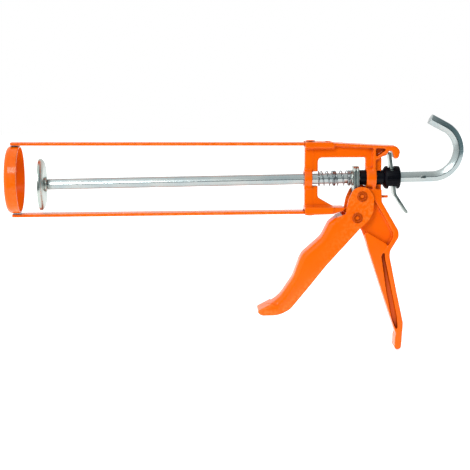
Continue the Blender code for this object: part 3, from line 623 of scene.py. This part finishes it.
def drive_plate(name, node, bottom, thick):
    low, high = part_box(node)
    middle = Vector(((low.x + high.x) / 2 - rod_turn.x, 0, 0))
    outline = [(-6.8, bottom, 2.5), (6.8, bottom, 2.5), (6.8, 9.5, 4.5), (-6.8, 9.5, 4.5)]
    blank = slab(filleted(outline, 10), thick / 2)
    quarter = Matrix.Rotation(math.radians(90), 3, "Z")
    bmesh.ops.rotate(blank, cent=(0, 0, 0), matrix=quarter, verts=blank.verts)
    bmesh.ops.translate(blank, vec=middle, verts=blank.verts)
    hole_side = [(-thick, 0), (-thick, plate_hole), (thick, plate_hole), (thick, 0)]
    hole = spun(hole_side, middle, (1, 0, 0), 48)
    bm = soften(cut(blank, hole), 0.35 * MM, 3, 50)
    bmesh.ops.transform(bm, matrix=along_rod, verts=bm.verts)
    finish(bm, name, part_zinc, "drive_plates", [node], crease=50)


drive_plate("grip_plate_front", "drive_plate_front", -19.5, 2.4 * MM)
drive_plate("grip_plate_rear", "drive_plate_rear", -8.9, 2.0 * MM)

washer_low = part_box("main_spring_washer")[0]
washer_side = [(0, plate_hole), (0, 6.1 * MM), (0.2 * MM, 6.2 * MM)]
washer_side += [(0.6 * MM, 6.2 * MM), (0.8 * MM, 6.1 * MM), (0.8 * MM, plate_hole)]
washer_bm = spun(washer_side, (washer_low.x - rod_turn.x + 0.1 * MM, 0, 0), (1, 0, 0), 48)
bmesh.ops.transform(washer_bm, matrix=along_rod, verts=washer_bm.verts)
finish(washer_bm, "spring_seat", part_zinc, "drive_plates", ["main_spring_washer"])

roller_low, roller_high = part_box("drive_roller")
roller_half = roller_high.y
roller_radius = (roller_high.z - roller_low.z) / 2
roller = [(-roller_half, 2.75 * MM), (-roller_half, roller_radius - 0.4 * MM)]
roller += [(-roller_half + 0.4 * MM, roller_radius)]
roller += [(-a, r) for a, r in reversed(roller)]
roller_bm = spun(roller, pin, (0, 1, 0), 48)
finish(roller_bm, "plate_roller", part_zinc, "roller", ["drive_roller"])


# ---------------------------------------------------------------------------------------------
# Bush and catch head. Moulded in black nylon: a sleeve through the body's rear wall and a round
# head with shallow finger ribs, slotted top and bottom for the catch lever.

def nylon(name):
    mat = bpy.data.materials.new(name)
    mat.use_nodes = True
    nodes, links = mat.node_tree.nodes, mat.node_tree.links
    shader = nodes["Principled BSDF"]
    cloud = texture(nodes, links, "ShaderNodeTexNoise", 160, 4)
    colour = blend_colours(
        nodes, links, spread(nodes, links, cloud.outputs["Fac"], 0.35, 0.7, 0, 1),
        (0.0008, 0.0010, 0.003), (0.003, 0.0035, 0.007),
    )
    links.new(colour, shader.inputs["Base Color"])
    rough = spread(nodes, links, cloud.outputs["Fac"], 0.3, 0.7, 0.34, 0.5)
    links.new(rough, shader.inputs["Roughness"])
    shader.inputs["Specular IOR Level"].default_value = 0.12
    grain = texture(nodes, links, "ShaderNodeTexNoise", 3200, 3)
    links.new(bump(nodes, links, grain.outputs["Fac"], 0.35, 0.00006), shader.inputs["Normal"])
    return mat


black_nylon = nylon("moulded_nylon")
bush_low, bush_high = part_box("catch_housing")
bush_length = bush_high.x - bush_low.x
sleeve_end = bush_length - 13.3 * MM
sleeve = 5.9 * MM
head_radius = bush_high.z - barrel_z
head_start = sleeve_end + 2.6 * MM
head_end = bush_length - 1.4 * MM
bore = 5.0 * MM
pocket = 7.4 * MM
pocket_start = bush_length - 10.9 * MM
pocket_end = bush_length - 7.5 * MM
bush = [(0.3 * MM, bore), (0, bore + 0.3 * MM), (0, sleeve - 0.3 * MM)]
bush += [(0.3 * MM, sleeve), (sleeve_end, sleeve)]
bush += [(sleeve_end + 0.4 * MM, 6.8 * MM), (sleeve_end + 1.0 * MM, 7.8 * MM)]
bush += [(sleeve_end + 1.8 * MM, 8.7 * MM), (head_start, head_radius)]
bush += [(head_end, head_radius), (bush_length - 0.5 * MM, 8.7 * MM), (bush_length, 7.8 * MM)]
bush += [(bush_length, bore + 0.4 * MM), (bush_length - 0.4 * MM, bore)]
bush += [(pocket_end, bore), (pocket_end, pocket), (pocket_start, pocket), (pocket_start, bore)]
head_steps = 72
bush_bm = spun(bush, (bush_low.x, 0, barrel_z), (1, 0, 0), head_steps)
grooves = []
for face in bush_bm.faces:
    middle = face.calc_center_median() - Vector((bush_low.x, 0, barrel_z))
    on_side = head_start < middle.x < head_end and math.hypot(middle.y, middle.z) > 8.8 * MM
    step = round(math.atan2(middle.y, middle.z) / (2 * math.pi) * head_steps - 0.5)
    if on_side and step % 2 == 0:
        grooves.append(face)
bmesh.ops.inset_individual(bush_bm, faces=grooves, thickness=0.12 * MM, depth=-0.35 * MM)
slot_at = Vector((bush_high.x - 10.6 * MM, 0, barrel_z))
slot_above = [(0.8, 12), (1.1, -1), (7.4, -1), (5.6, 12)]
slot_below = [(1.1, 1), (1.4, -12), (9.0, -12), (7.2, 1)]
for outline, half in ((slot_above, 5.6), (slot_below, 6.5)):
    bush_bm = cut(bush_bm, slab(outline, half * MM, slot_at))
finish(bush_bm, "catch_head", black_nylon, "frame", ["catch_housing"], crease=40)


# ---------------------------------------------------------------------------------------------
# Catch lever. Blanked from 2.2 mm plate and zinc plated: a rounded top edge that rocks in the
# body's finger, a hole that bites on the rod, and a wider thumb tab bent back at the bottom.

socket = Vector(joints["catch_release"]["pos_m"])
lever_tilt = math.radians(8)
tab_tilt = lever_tilt + math.radians(25)
lever_half_thick = 1.1
down = Vector((math.sin(lever_tilt), -math.cos(lever_tilt)))
out = Vector((math.sin(tab_tilt), -math.cos(tab_tilt)))
across = Vector((down.y, -down.x)) * lever_half_thick
tab_across = Vector((out.y, -out.x)) * lever_half_thick
top = down * -0.4
bend = down * 32.6
tip = bend + out * 17.5
profile = [(*(top + across), 0.9), (*(bend + across), 5.5), (*(tip + tab_across), 0.9)]
profile += [(*(tip - tab_across), 0.9), (*(bend - across), 4), (*(top - across), 0.9)]
tab_half = 7.5 * MM
lever_bm = slab(filleted(profile), tab_half, socket)
for side in (-1, 1):
    for foot, inset in ((-13, 2.1), (-32, 1.2)):
        notch = [(-8, 4), (12, 4), (12, foot), (-8, foot)]
        edge_at = socket + Vector((0, side * tab_half, 0))
        lever_bm = cut(lever_bm, slab(notch, inset * MM, edge_at))
rod_hole = socket + Vector((down.x, 0, down.y)) * (socket.z - barrel_z - 0.15 * MM) / math.cos(lever_tilt)
through = Vector((math.cos(lever_tilt), 0, math.sin(lever_tilt)))
bore_side = [(-4 * MM, 0), (-4 * MM, plate_hole), (4 * MM, plate_hole), (4 * MM, 0)]
lever_bm = cut(lever_bm, spun(bore_side, rod_hole, through, 48))
lever_bm = soften(lever_bm, 0.35 * MM, 3, 40)
finish(lever_bm, "thumb_lever", part_zinc, "lever", ["catch_lever"], crease=50)


# ---------------------------------------------------------------------------------------------
# Floor, light and camera. A pale floor under the gun, a large soft light from the upper left,
# and a bright room that is dimmer behind the camera, so that the bare metal has contrast.

floor_radius = 1.4
floor_at = (0, 1.0, cad_low[2] - 2 * MM)
floor_bm = bmesh.new()
bmesh.ops.create_circle(floor_bm, cap_ends=True, segments=96, radius=floor_radius)
bmesh.ops.translate(floor_bm, vec=floor_at, verts=floor_bm.verts)
floor_mesh = bpy.data.meshes.new("floor")
floor_bm.to_mesh(floor_mesh)
floor_bm.free()
floor = bpy.data.objects.new("floor", floor_mesh)
bpy.context.collection.objects.link(floor)
pale = bpy.data.materials.new("pale_floor")
pale.use_nodes = True
cover = pale.node_tree.nodes["Principled BSDF"]
cover.inputs["Base Color"].default_value = (0.8, 0.8, 0.8, 1)
cover.inputs["Roughness"].default_value = 0.8
cover.inputs["Emission Color"].default_value = (1, 1, 1, 1)
cover.inputs["Emission Strength"].default_value = 0.7
floor_mesh.materials.append(pale)

# The room is dark in front and low down, brighter above and to the left, grey to the right and
# white behind the gun.
world = bpy.data.worlds.new("room")
bpy.context.scene.world = world
world.use_nodes = True
nodes, links = world.node_tree.nodes, world.node_tree.links
toward = nodes.new("ShaderNodeTexCoord")
parts = nodes.new("ShaderNodeSeparateXYZ")
links.new(toward.outputs["Generated"], parts.inputs["Vector"])
to_left = nodes.new("ShaderNodeMath")
to_left.operation = "MULTIPLY_ADD"
links.new(parts.outputs["X"], to_left.inputs[0])
to_left.inputs[1].default_value = -1.1
links.new(parts.outputs["Z"], to_left.inputs[2])
behind = spread(nodes, links, parts.outputs["Y"], 0.25, 0.75, 0, 1)
above = spread(nodes, links, to_left.outputs["Value"], 0.0, 1.0, 0, 1)
room = blend_colours(nodes, links, above, (0.03, 0.06, 0.07), (1.1, 1.15, 1.15))
to_right = spread(nodes, links, parts.outputs["X"], 0.3, 0.9, 0, 1)
room = blend_colours(nodes, links, to_right, room, (0.22, 0.33, 0.36))
room = blend_colours(nodes, links, behind, room, (1.0, 1.0, 1.0))
links.new(room, nodes["Background"].inputs["Color"])
nodes["Background"].inputs["Strength"].default_value = 1.0


def soft_light(name, at, aim, size, watts):
    lamp = bpy.data.lights.new(name, "AREA")
    lamp.size = size
    lamp.energy = watts
    obj = bpy.data.objects.new(name, lamp)
    bpy.context.collection.objects.link(obj)
    obj.location = at
    obj.rotation_euler = (Vector(aim) - Vector(at)).to_track_quat("-Z", "Y").to_euler()


soft_light("upper_left", (-0.55, -1.1, 0.95), (-0.1, 0, 0.05), 0.45, 8)

camera_data = bpy.data.cameras.new("camera")
camera = bpy.data.objects.new("camera", camera_data)
bpy.context.collection.objects.link(camera)
eye = Vector((-0.1555, -0.943, 0.192))
target = Vector((-0.1205, 0, 0.040))
roll = math.radians(-0.1)
seen_half_width = 185.1 * MM
seen_from = 955 * MM
look = (target - eye).to_track_quat("-Z", "Y").to_matrix().to_4x4()
camera.matrix_world = Matrix.Translation(eye) @ look @ Matrix.Rotation(roll, 4, "Z")
camera_data.sensor_fit = "HORIZONTAL"
camera_data.angle = 2 * math.atan(seen_half_width / seen_from)
bpy.context.scene.camera = camera
bpy.context.scene.view_settings.view_transform = "Standard"
